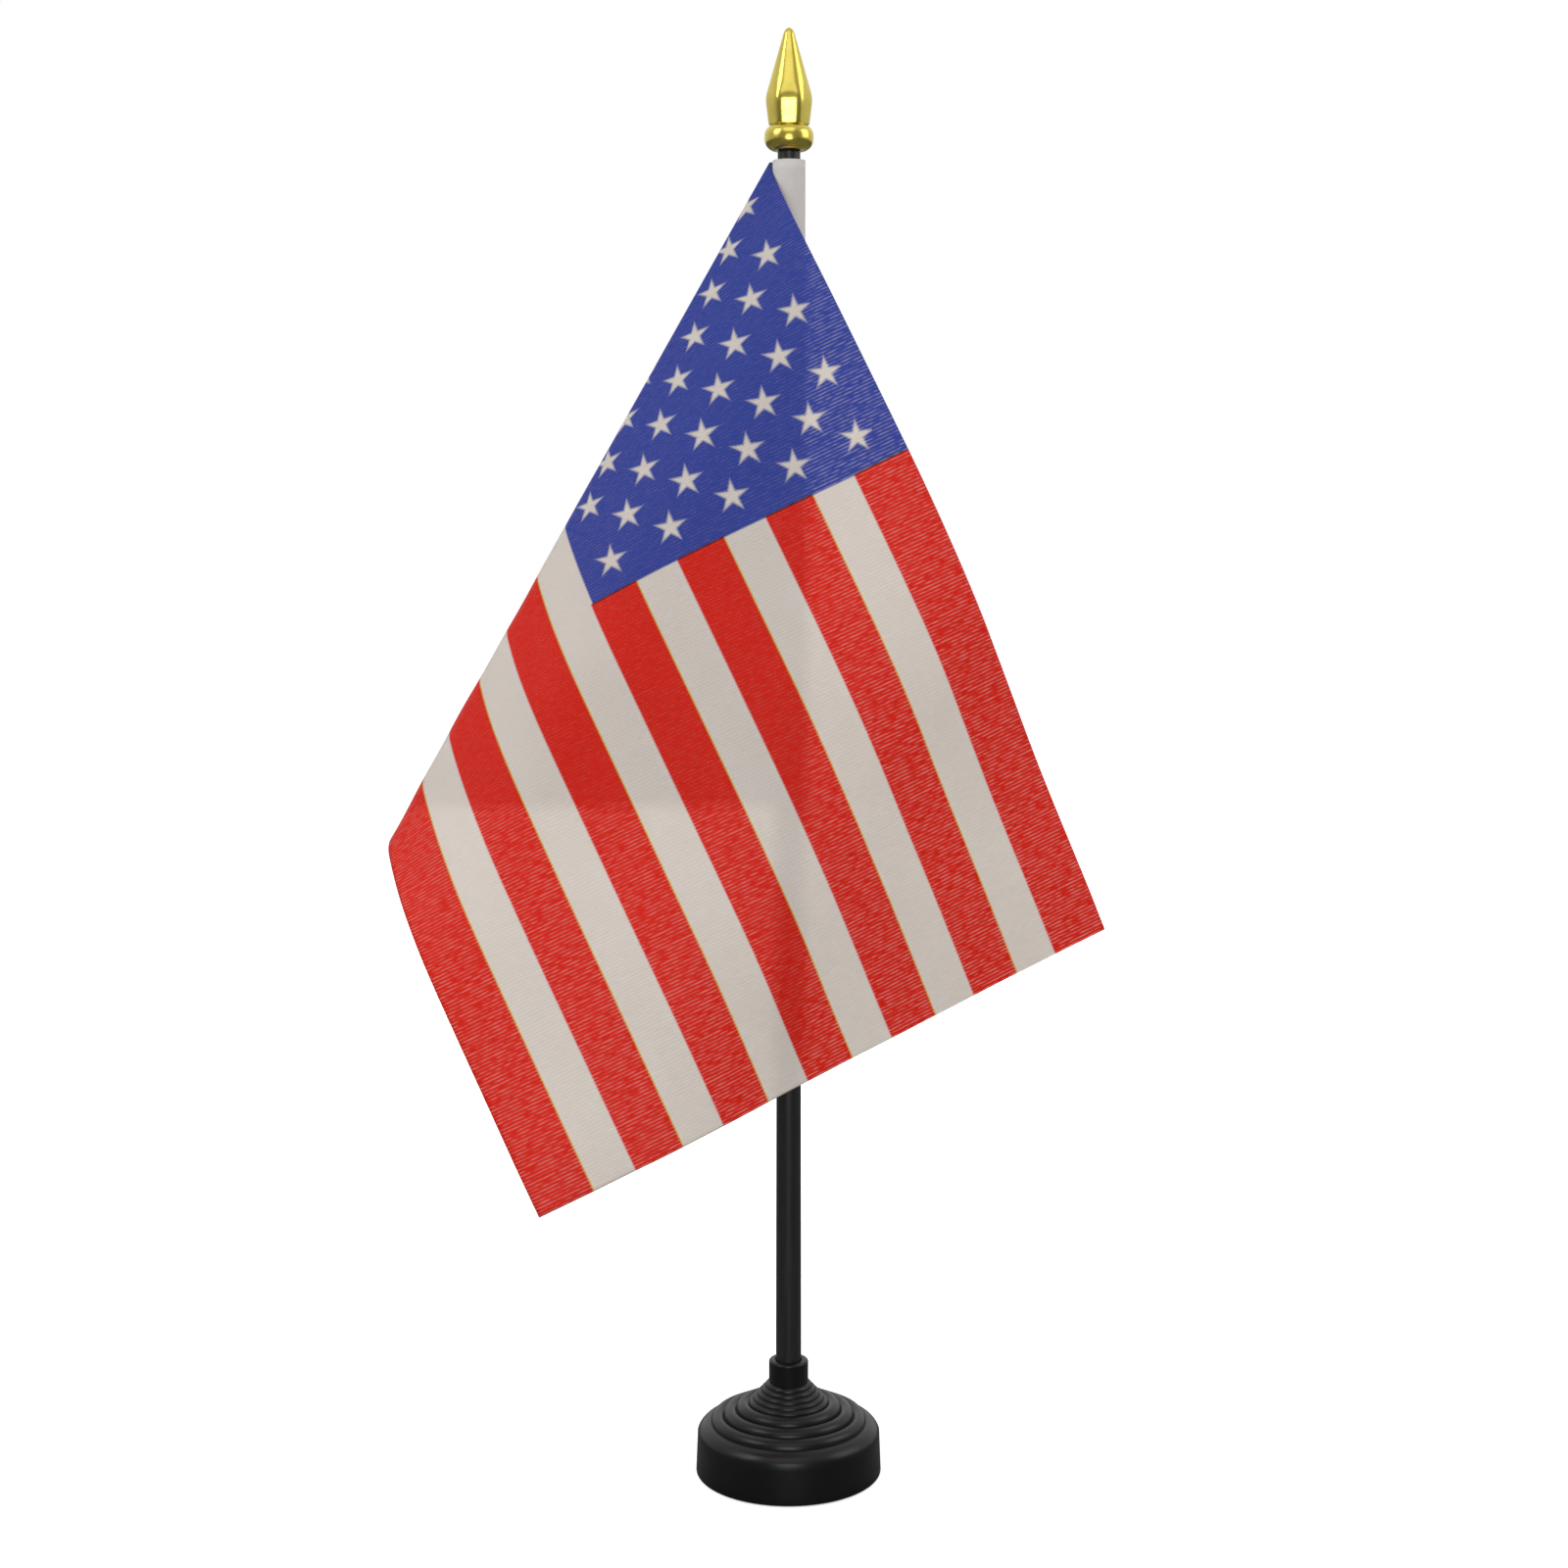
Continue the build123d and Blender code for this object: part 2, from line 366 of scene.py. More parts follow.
stick_plastic = new_material("satin_black_moulded_polystyrene")
place = add(stick_plastic, "TexCoord").outputs["Object"]
along_stick = add(stick_plastic, "Mapping", {"Vector": place, "Scale": (1, 1, 1 / STREAK_LENGTH)})
streaks = add(
    stick_plastic, "TexNoise", {"Vector": along_stick, "Scale": 1 / STREAK, "Detail": 3.0}
)
speck = add(stick_plastic, "TexNoise", {"Vector": place, "Scale": 1 / BLASTED_GRAIN, "Detail": 2.0})
tone = add(
    stick_plastic,
    "MixRGB",
    {"Fac": streaks, "Color1": linear("#151616"), "Color2": linear("#202322")},
)
gloss = add(
    stick_plastic,
    "MapRange",
    {"Value": streaks, "From Min": 0.3, "From Max": 0.7, "To Min": 0.30, "To Max": 0.44},
)
relief = add(stick_plastic, "Bump", {"Strength": 0.2, "Distance": 0.015 * MM, "Height": speck})
surface = add(
    stick_plastic,
    "BsdfPrincipled",
    {
        "Base Color": tone,
        "Roughness": gloss,
        "IOR": 1.55,
        "Specular IOR Level": 0.36,
        "Normal": relief,
    },
)
add(stick_plastic, "OutputMaterial", {"Surface": surface})

# %% Stick
stick_low, stick_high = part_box("pole")
stick_foot_radius, stick_top_radius = stick_high.x / MM, 2.5
spigot_radius, spigot_length = 1.6, 10.0
stick_foot, spigot_end = stick_low.z / MM, stick_high.z / MM
stick_top = spigot_end - spigot_length
taper_start = 32.0
flash_height, flash_width = 0.07, 0.035  # millimetres proud, and radians wide

stick_profile = np.concatenate(
    [
        straight((0, stick_foot), (stick_foot_radius - 0.4, stick_foot)),
        straight((stick_foot_radius, stick_foot + 0.4), (stick_foot_radius, taper_start), 6),
        straight((stick_foot_radius, taper_start + 0.5), (stick_top_radius, stick_top - 0.2), 40),
        straight((stick_top_radius - 0.2, stick_top), (spigot_radius, stick_top)),
        straight((spigot_radius, spigot_end - 0.4), (spigot_radius - 0.4, spigot_end)),
        [(0, spigot_end)],
    ]
)
stick_grid = lathe(stick_profile, 144)
around = np.linspace(0, 2 * np.pi, 144, endpoint=False)
from_flash = np.abs((around + np.pi / 2 - 0.35) % np.pi - np.pi / 2)
flash = flash_height * np.exp(-((from_flash / flash_width) ** 2))
bare = (stick_profile[:, 1] > taper_start) & (stick_profile[:, 0] > stick_top_radius - 0.05)
stick_grid[bare, :, :2] *= 1 + flash[None, :, None] / stick_profile[bare, :1, None]
stick = piece_from_grid("tapered_stick", [stick_grid], [stick_plastic])
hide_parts("pole")
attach(stick, "pole")

# %% [markdown]
# ## Plated gold
#
# The spearhead is moulded in plastic and plated: a thin film of aluminium laid on in a vacuum,
# under a yellow lacquer. It mirrors the room like metal but in a greenish lemon gold. The
# lacquer runs before it sets, so it is a little deeper in the hollows and the mirror has an
# orange-peel wobble about a millimetre across.

# %% Gold lacquer
ORANGE_PEEL = 1.3 * MM
LACQUER_RUNS = 3.5 * MM

plated_gold = new_material("vacuum_plated_gold")
place = add(plated_gold, "TexCoord").outputs["Object"]
peel = add(plated_gold, "TexNoise", {"Vector": place, "Scale": 1 / ORANGE_PEEL, "Detail": 1.0})
runs = add(plated_gold, "TexNoise", {"Vector": place, "Scale": 1 / LACQUER_RUNS, "Detail": 3.0})
lacquer = add(
    plated_gold,
    "MixRGB",
    {"Fac": runs, "Color1": linear("#DFCF66"), "Color2": linear("#CDB850")},
)
haze = add(
    plated_gold,
    "MapRange",
    {"Value": runs, "From Min": 0.3, "From Max": 0.7, "To Min": 0.19, "To Max": 0.27},
)
relief = add(plated_gold, "Bump", {"Strength": 0.10, "Distance": 0.05 * MM, "Height": peel})
surface = add(
    plated_gold,
    "BsdfPrincipled",
    {"Base Color": lacquer, "Roughness": haze, "Metallic": 1.0, "Normal": relief},
)
add(plated_gold, "OutputMaterial", {"Surface": surface})

# %% [markdown]
# ## The spearhead
#
# The head is six-sided and the bulb under it is round, and both have the soft edges of a
# plated moulding. A bevelled cone would give even, machine-like edges, so the section is
# written as a formula instead. A regular hexagon's radius at an angle is its apothem over the
# largest cosine to a side. Adding the cosines' high powers in place of taking the largest
# rounds its corners, more so for a lower power. Along the axis the two slopes of the head meet
# by a smooth minimum, and the bulb is a superellipse.

# %% Spearhead
finial_low, finial_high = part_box("finial")
tip, finial_foot = finial_high.z / MM, finial_low.z / MM
end_radius, slope_out = 0.84, 0.298  # of the cone at the tip, and how it widens
shoulder_drop, shoulder_corner, slope_in = 14.7, 5.22, 0.127
meeting_sharpness = 4.5
tip_length = 1.85
head_length = 20.35
cone_power, taper_power = 5.0, 10.0  # the corners are rounder on the cone
bulb_drop, bulb_radius, bulb_half_height, bulb_power = 23.1, 5.42, 3.3, 2.6
bore_radius, bore_end = 1.65, finial_foot + 10.2


def head_corner(drop):
    """The radius at the head's corners: two straight slopes that meet by a smooth minimum,
    closed at the tip by a dome."""
    outwards = end_radius + slope_out * drop
    inwards = shoulder_corner - slope_in * (drop - shoulder_drop)
    meeting = -np.log(
        np.exp(-meeting_sharpness * outwards) + np.exp(-meeting_sharpness * inwards)
    ) / meeting_sharpness
    dome = np.sqrt(np.clip(1 - (1 - np.clip(drop / tip_length, 0, 1)) ** 4, 0, 1))
    return meeting * dome


def bulb(drop):
    """The bulb's radius: a superellipse about its widest place."""
    share = np.abs((drop - bulb_drop) / bulb_half_height) ** bulb_power
    return bulb_radius * (1 - share) ** (1 / bulb_power)


columns = 180
around = np.linspace(0, 2 * np.pi, columns, endpoint=False)
side_angles = np.radians([-90, -30, 30])
cosines = np.abs(np.cos(around[:, None] - side_angles[None, :]))


def hexagon(power):
    """The section's shape, 1 at its corners: one over the power mean of the cosines to the sides.
    Each power in the array makes one row."""
    power = np.asarray(power, float)[:, None]
    section = 1 / np.sum(cosines[None] ** power[..., None], axis=-1) ** (1 / power)
    return section / section.max(axis=1, keepdims=True)



tip_drops = tip_length * np.linspace(0, 1, 15) ** 2
cone_drops = np.linspace(tip_length, shoulder_drop - 1.4, 26)[1:]
shoulder_drops = np.linspace(shoulder_drop - 1.2, shoulder_drop + 1.2, 13)
taper_drops = np.linspace(shoulder_drop + 1.4, head_length - 0.25, 12)
head_drops = np.concatenate([tip_drops, cone_drops, shoulder_drops, taper_drops])
squareness = np.clip((head_drops - 0.2) / 3.0, 0, 1)[:, None]
down_cone = np.clip((head_drops - shoulder_drop + 3.0) / 3.0, 0, 1)
sections = hexagon(cone_power + (taper_power - cone_power) * down_cone)
head_radii = head_corner(head_drops)[:, None] * (1 - squareness + squareness * sections)
rim_radii = head_corner(np.array([head_length]))[0] * sections[-1:]
rim_drops = head_length + np.array([-0.08, 0.0, 0.02])
rim_radii = np.concatenate([rim_radii, rim_radii - 0.12, np.full((1, columns), bulb(head_length + 0.14))])

bulb_drops = bulb_drop + bulb_half_height * np.linspace(-0.788, 0.848, 26)
foot_radius_here = bulb(bulb_drops[-1])
closing_radii = np.array([foot_radius_here - 0.25, bore_radius + 0.2, bore_radius, bore_radius, 0])
closing_heights = np.array([0.0, 0.0, 0.2, bore_end - finial_foot, bore_end - finial_foot])
round_radii = np.concatenate([bulb(bulb_drops), closing_radii])[:, None] + np.zeros(columns)

radii = np.concatenate([head_radii, rim_radii, round_radii])
heights = np.concatenate(
    [tip - head_drops, tip - rim_drops, tip - bulb_drops, finial_foot + closing_heights]
)[:, None] + np.zeros(columns)
spear_grid = np.stack([radii * np.cos(around), radii * np.sin(around), heights], axis=-1)
spearhead = piece_from_grid("plated_spearhead", [spear_grid], [plated_gold], crease=40)
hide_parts("finial")
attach(spearhead, "finial")

# %% [markdown]
# ## The hang of the cloth
#
# The flag is a light polyester satin that has been rolled in its bag, so it keeps a curl. Woven
# cloth hardly stretches, and a sheet that doesn't stretch bends only along straight lines, its
# rulings. That makes a formula better than a simulation here: near the stick the rulings fan
# out from one point above the hoist edge, and past the fan they run parallel. Carrying a small
# frame of two directions across the rulings, and turning it by the amount given for each
# stretch, gives the fold on the left and the curl to the front. The true flat place of each
# point comes with it, so the print keeps its size.

# %% Rulings of the sheet
hoist, fly = 140.0, 200.0
flag_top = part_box("flag_sleeve")[1].z / MM
fan_height = 13.2  # the fan point above the top edge
hoist_place = (3.4, 4.5)
hoist_heading = np.radians(185.7)
fan_arcs = [  # degrees between the arc's rulings, and its turn in degrees
    (28.15, -10.9),
    (0.79, -12.6),
    (1.71, -47.6),
    (0.86, -12.2),
    (3.3, -2.4),
    (1.58, -41.1),
]
# Past the fan: each stretch's width, and its turn for each millimetre in degrees.
curl_arcs = [(30.9, -1.17), (30.9, -0.17), (32.5, -0.72)]
flat_bend = 0.06  # the same, for the rest of the sheet
low_edge = hoist + fan_height
fan_end = np.radians(sum(width for width, _ in fan_arcs))
slope, reach = np.cos(fan_end), np.sin(fan_end)
fan_point = np.array([*hoist_place, flag_top + fan_height])


def turned(vector, axle, angle):
    """Turns a vector about a unit axle by each of an array of angles, by Rodrigues' formula."""
    angle = np.asarray(angle)[..., None]
    return (
        vector * np.cos(angle)
        + np.cross(axle, vector) * np.sin(angle)
        + axle * np.dot(axle, vector) * (1 - np.cos(angle))
    )


def fan_frame(angle):
    """The direction along and across the ruling at each angle of the fan. Within an arc both
    turn about one axle: the sheet's normal, plus the ruling times the arc's bend."""
    angle = np.asarray(angle, float)
    along = np.array([0.0, 0.0, -1.0])
    across = np.array([np.cos(hoist_heading), np.sin(hoist_heading), 0.0])
    all_along = np.zeros((*angle.shape, 3))
    all_across = np.zeros((*angle.shape, 3))
    start = 0.0
    for width, turn in np.radians(fan_arcs):
        axle = np.cross(along, across) + along * (turn / width)
        length = np.linalg.norm(axle)
        inside = (angle >= start - 1e-12) if start else (angle > -1.0)
        swing = length * np.clip(angle - start, 0, width)
        all_along[inside] = turned(along, axle / length, swing)[inside]
        all_across[inside] = turned(across, axle / length, swing)[inside]
        along, across = (turned(v, axle / length, length * width) for v in (along, across))
        start += width
    return all_along, all_across


def fan_sheet(u, v):
    """The place in space and the normal of a point of the fan, from its place on the flat cloth."""
    angle = np.arctan2(u, v + fan_height)
    along, across = fan_frame(angle)
    distance = np.hypot(u, v + fan_height)[..., None]
    return fan_point + along * distance, np.cross(along, across)


fan_angles = np.concatenate(
    [
        np.linspace(0, 1, max(2, int(np.ceil(max(abs(turn) / 2.0, width * 1.6)))), endpoint=False)
        * width
        + sum(w for w, _ in fan_arcs[:i])
        for i, (width, turn) in enumerate(fan_arcs)
    ]
)
fan_angles = np.radians(np.append(fan_angles, np.degrees(fan_end)))
free_corner = fly * slope - low_edge * reach
sheet_end = fly * slope - fan_height * reach
print("rulings in the fan:", len(fan_angles), "free corner at", round(free_corner, 1), "mm")

# %% [markdown]
# ## From rulings to the sheet
#
# Each ruling becomes one row of the grid, with its points spread evenly between the top edge
# and the bottom or free edge. The parallel part curls by a steady amount in each stretch,
# so its heading is a running sum of the bend, and the row's place is a running sum of short
# chords. Cloth this light also has a slow ripple of a few tenths of a millimetre, which
# catches the light without moving the outline.

# %% Sheet grid
points_on_ruling = 130
share = np.linspace(0, 1, points_on_ruling)


def rulings_as_grid(start, along, near, far):
    """A grid of points: each row runs along its ruling from its near to its far distance."""
    distance = near[:, None] + (far - near)[:, None] * share
    return start[:, None, :] + along[:, None, :] * distance[:, :, None], distance


fan_along, fan_across = fan_frame(fan_angles)
fan_near, fan_far = fan_height / np.cos(fan_angles), low_edge / np.cos(fan_angles)
fan_points, distance = rulings_as_grid(
    np.broadcast_to(fan_point, fan_along.shape), fan_along, fan_near, fan_far
)
fan_flat = np.stack(
    [
        distance * np.sin(fan_angles)[:, None],
        distance * np.cos(fan_angles)[:, None] - fan_height,
    ],
    axis=-1,
)
fan_normals = np.broadcast_to(np.cross(fan_along, fan_across)[:, None, :], fan_points.shape)

arc_ends = np.cumsum([width for width, _ in curl_arcs])
marks = np.sort(np.concatenate([[0, free_corner, sheet_end], arc_ends]))
curl_stops = np.concatenate(
    [np.linspace(a, b, max(2, round((b - a) / 1.6)), endpoint=False) for a, b in zip(marks, marks[1:])]
    + [[sheet_end]]
)
steps = np.diff(curl_stops)
zone = np.searchsorted(arc_ends, curl_stops[:-1] + 1e-9)
bends = np.radians([*(bend for _, bend in curl_arcs), flat_bend])[zone] * steps
heading = np.concatenate([[0], np.cumsum(bends)])
last_along, last_across = fan_along[-1], fan_across[-1]
curl_along = np.broadcast_to(last_along, (len(curl_stops), 3))
curl_across = turned(last_across, last_along, heading)
chords = turned(last_across, last_along, heading[:-1] + bends / 2)
chord_lengths = steps * np.sinc(bends / 2 / np.pi)
curl_start = fan_point + np.concatenate(
    [np.zeros((1, 3)), np.cumsum(chords * chord_lengths[:, None], axis=0)]
)
curl_near = (fan_height + curl_stops * reach) / slope
curl_far = np.minimum(
    (low_edge + curl_stops * reach) / slope, (fly - curl_stops * slope) / reach
)
curl_far = np.maximum(curl_far, curl_near)
curl_points, distance = rulings_as_grid(curl_start, curl_along, curl_near, curl_far)
curl_flat = np.stack(
    [
        curl_stops[:, None] * slope + distance * reach,
        distance * slope - curl_stops[:, None] * reach - fan_height,
    ],
    axis=-1,
)
curl_normals = np.broadcast_to(
    np.cross(curl_along, curl_across)[:, None, :], curl_points.shape
)

sheet_points = np.concatenate([fan_points[:-1], curl_points])
sheet_flat = np.concatenate([fan_flat[:-1], curl_flat])
sheet_normals = np.concatenate([fan_normals[:-1], curl_normals])

# %% Ripples
RIPPLE = 0.28  # millimetres
u, v = sheet_flat[..., 0], sheet_flat[..., 1]
past_fold = np.clip((u - 45) / 60, 0, 1) ** 2 * (3 - 2 * np.clip((u - 45) / 60, 0, 1))
long_wave = np.sin((u * 0.9 + v * 0.35) / 8.5) + 0.6 * np.sin((u * 0.4 - v * 0.8) / 6.1 + 1.3)
short_wave = 0.25 * np.sin((u * 0.2 + v) / 2.9 + 0.7 * np.sin(u / 13))
ripple = RIPPLE * past_fold * (long_wave + short_wave)
sheet_points = sheet_points + sheet_normals * ripple[..., None]
print("sheet grid", sheet_points.shape, "ripple up to", round(float(np.abs(ripple).max()), 2), "mm")

# %% [markdown]
# ## The print
#
# The cloth is a white polyester satin, printed by dye transfer on the face, and the dye shows
# through a little paler on the reverse. The design is thirteen stripes, and a blue field with a
# grid of stars in the upper corner at the stick. It could be painted as an image, but an image
# has a fixed sharpness. Nodes work the same design out at any distance from the cloth's own
# flat coordinates.
#
# The stripes are the sign of a sine wave, cut off softly over a few tenths of a millimetre, as
# dye bleeds along the threads. Red is two dyes, magenta and yellow, laid down about a tenth of
# a millimetre apart, and that gives each red stripe a thin warm fringe on one side. The stars
# stand on a diagonal grid. Two sums of the row and column numbers are whole at every star, so
# wrapping both to the nearest whole number gives the way to the nearest star. A star is then
# one straight edge, repeated by folding the angle ten times round the centre.

# %% Print design
stripe_count = 13
outer_extra = 0.183  # how much wider each outer stripe is, in stripes
unit = hoist / (stripe_count + 2 * outer_extra)  # a stripe's width
field_width, field_depth = 86.0, 7 * unit + outer_extra * unit
star_radius = 3.5
column_pitch, row_pitch = 7.784, 7.381
first_column, first_row = 0.75, 8.71  # the centres nearest the corner, in millimetres
last_column, last_row = first_column + 10 * column_pitch, first_row + 8 * row_pitch
dye_bleed = 0.42
dye_spread = 0.32  # how far the red has crept over its edge
star_bleed = 0.62
dye_offset = 0.11
unprinted_hoist = 2.8

CLOTH_WHITE = linear("#DFD8D0")
MAGENTA_DYE = (0.99, 0.026, 0.09, 1.0)
YELLOW_DYE = (0.99, 0.80, 0.07, 1.0)
BLUE_DYE = (0.048, 0.090, 0.56, 1.0)


def printed_colour(cloth, density):
    """Adds the print's nodes to a material and returns the one with the colour. Density is how
    much of the dye this side of the cloth shows."""
    flat = add(cloth, "UVMap", uv_map="flat_cloth")
    place = add(cloth, "VectorMath", {0: flat, "Scale": 1 / MM}, operation="SCALE")
    axes = add(cloth, "SeparateXYZ", {0: place})
    u, v = axes.outputs["X"], axes.outputs["Y"]

    depth = add(cloth, "CombineXYZ", {"X": v, "Y": v, "Z": v})
    shift = dye_offset / unit
    stripe = add(
        cloth,
        "VectorMath",
        {0: depth, 1: (1 / unit,) * 3, 2: (-outer_extra - shift, -outer_extra + shift, 0)},
        operation="MULTIPLY_ADD",
    )
    for operation, limit in (("MAXIMUM", 0.1), ("MINIMUM", stripe_count - 0.1)):
        stripe = add(cloth, "VectorMath", {0: stripe, 1: (limit,) * 3}, operation=operation)
    stripe = add(cloth, "VectorMath", {0: stripe, "Scale": np.pi}, operation="SCALE")
    wave = add(cloth, "VectorMath", {0: stripe}, operation="SINE")
    steepness = unit / np.pi / dye_bleed
    middle = 0.5 + dye_spread / dye_bleed
    wave = add(
        cloth,
        "VectorMath",
        {0: wave, 1: (steepness,) * 3, 2: (middle,) * 3},
        operation="MULTIPLY_ADD",
    )
    for operation, limit in (("MAXIMUM", 0.0), ("MINIMUM", 1.0)):
        wave = add(cloth, "VectorMath", {0: wave, 1: (limit,) * 3}, operation=operation)

    # Two masks for the blue field, and two for where the stripes stop under it. The stripes' mask
    # reaches past the field's lower edge, to hide the creep of the red that would lie there.
    masks = [
        add(
            cloth,
            "MapRange",
            {"Value": place_on_axis, "From Min": edge + soft / 2, "From Max": edge - soft / 2},
        )
        for place_on_axis, edge, soft in (
            (u, field_width, dye_bleed),
            (v, field_depth, dye_bleed),
            (u, field_width - 0.30, 0.30),
            (v, field_depth + 0.85, 0.30),
        )
    ]
    field = add(cloth, "Math", {0: masks[0], 1: masks[1]}, operation="MULTIPLY")
    under_field = add(cloth, "Math", {0: masks[2], 1: masks[3]}, operation="MULTIPLY")
    striped = add(cloth, "Math", {0: 1.0, 1: under_field}, operation="SUBTRACT")

    cell = add(
        cloth,
        "VectorMath",
        {
            0: place,
            1: (1 / column_pitch, 1 / row_pitch, 0),
            2: (1 - first_column / column_pitch, 1 - first_row / row_pitch, 0),
        },
        operation="MULTIPLY_ADD",
    )
    half_sum = add(cloth, "VectorMath", {0: cell, 1: (0.5, 0.5, 0)}, operation="DOT_PRODUCT")
    half_gap = add(cloth, "VectorMath", {0: cell, 1: (0.5, -0.5, 0)}, operation="DOT_PRODUCT")
    pair = add(
        cloth, "CombineXYZ", {"X": half_sum.outputs["Value"], "Y": half_gap.outputs["Value"]}
    )
    nearest = add(
        cloth, "VectorMath", {0: pair, 1: (0.5,) * 3, 2: (-0.5,) * 3}, operation="WRAP"
    )
    sideways = add(
        cloth,
        "VectorMath",
        {0: nearest, 1: (column_pitch, column_pitch, 0)},
        operation="DOT_PRODUCT",
    )
    downwards = add(
        cloth, "VectorMath", {0: nearest, 1: (row_pitch, -row_pitch, 0)}, operation="DOT_PRODUCT"
    )
    sideways, downwards = sideways.outputs["Value"], downwards.outputs["Value"]
    upwards = add(cloth, "Math", {0: downwards, 1: -1.0}, operation="MULTIPLY")
    angle = add(cloth, "Math", {0: sideways, 1: upwards}, operation="ARCTAN2")
    fifth = np.pi / 5
    angle = add(cloth, "Math", {0: angle, 1: fifth, 2: -fifth}, operation="WRAP")
    angle = add(cloth, "Math", {0: angle}, operation="ABSOLUTE")
    angle = add(cloth, "Math", {0: angle, 1: fifth / 2}, operation="ADD")
    sine = add(cloth, "Math", {0: angle}, operation="SINE")
    offset = add(cloth, "CombineXYZ", {"X": sideways, "Y": downwards})
    radius = add(cloth, "VectorMath", {0: offset}, operation="LENGTH").outputs["Value"]
    to_edge = add(cloth, "Math", {0: radius, 1: sine}, operation="MULTIPLY")
    edge_distance = star_radius * np.sin(fifth / 2)
    star = add(
        cloth,
        "MapRange",
        {
            "Value": to_edge,
            "From Min": edge_distance + star_bleed / 2,
            "From Max": edge_distance - star_bleed / 2,
        },
    )
    middle_row = (first_row + last_row) / 2
    half_rows = (last_row - first_row) / 2 + star_radius + 0.1
    in_rows = add(cloth, "Math", {0: v, 1: middle_row, 2: half_rows}, operation="COMPARE")
    in_columns = add(
        cloth, "Math", {0: u, 1: last_column + star_radius + 0.2}, operation="LESS_THAN"
    )
    star = add(cloth, "Math", {0: star, 1: in_rows}, operation="MULTIPLY")
    star = add(cloth, "Math", {0: star, 1: in_columns}, operation="MULTIPLY")
    blank = add(cloth, "Math", {0: 1.0, 1: star}, operation="SUBTRACT")

    inked = add(
        cloth,
        "MapRange",
        {
            "Value": u,
            "From Min": unprinted_hoist - 0.2,
            "From Max": unprinted_hoist + 0.2,
            "To Max": density,
        },
    )
    layers = add(cloth, "VectorMath", {0: wave, "Scale": striped}, operation="SCALE")
    layers = add(cloth, "VectorMath", {0: layers, "Scale": inked}, operation="SCALE")
    dyes = add(cloth, "SeparateXYZ", {0: layers})
    blue = add(cloth, "Math", {0: field, 1: blank}, operation="MULTIPLY")
    blue = add(cloth, "Math", {0: blue, 1: inked}, operation="MULTIPLY")

    colour = CLOTH_WHITE
    for cover, dye in (
        (dyes.outputs["X"], MAGENTA_DYE),
        (dyes.outputs["Y"], YELLOW_DYE),
        (blue, BLUE_DYE),
    ):
        colour = add(
            cloth,
            "MixRGB",
            {"Fac": cover, "Color1": colour, "Color2": dye},
            blend_type="MULTIPLY",
        )
    return place, colour


# %% [markdown]
# ## The satin
#
# Under the print is the weave. The floating threads of a satin lie along the hoist and give it
# ribs, and between them are gaps that let light through from behind. That is why the red looks
# speckled with white where only daylight is behind it, and turns deeper and more even where
# the stick or the cloth's back layer blocks the light. So the gaps are a translucent shader, mixed into
# the printed one by the pattern of the weave. Threads this fine are about 0.1 mm apart. They are
# drawn 0.75 mm apart, coarse enough to show.

# %% Cloth
RIB_PITCH = 0.75  # millimetres, drawn coarse so that the ribs show
PICK_PITCH = 0.55
FLECK = (0.6, 2.2)  # across and along the ribs


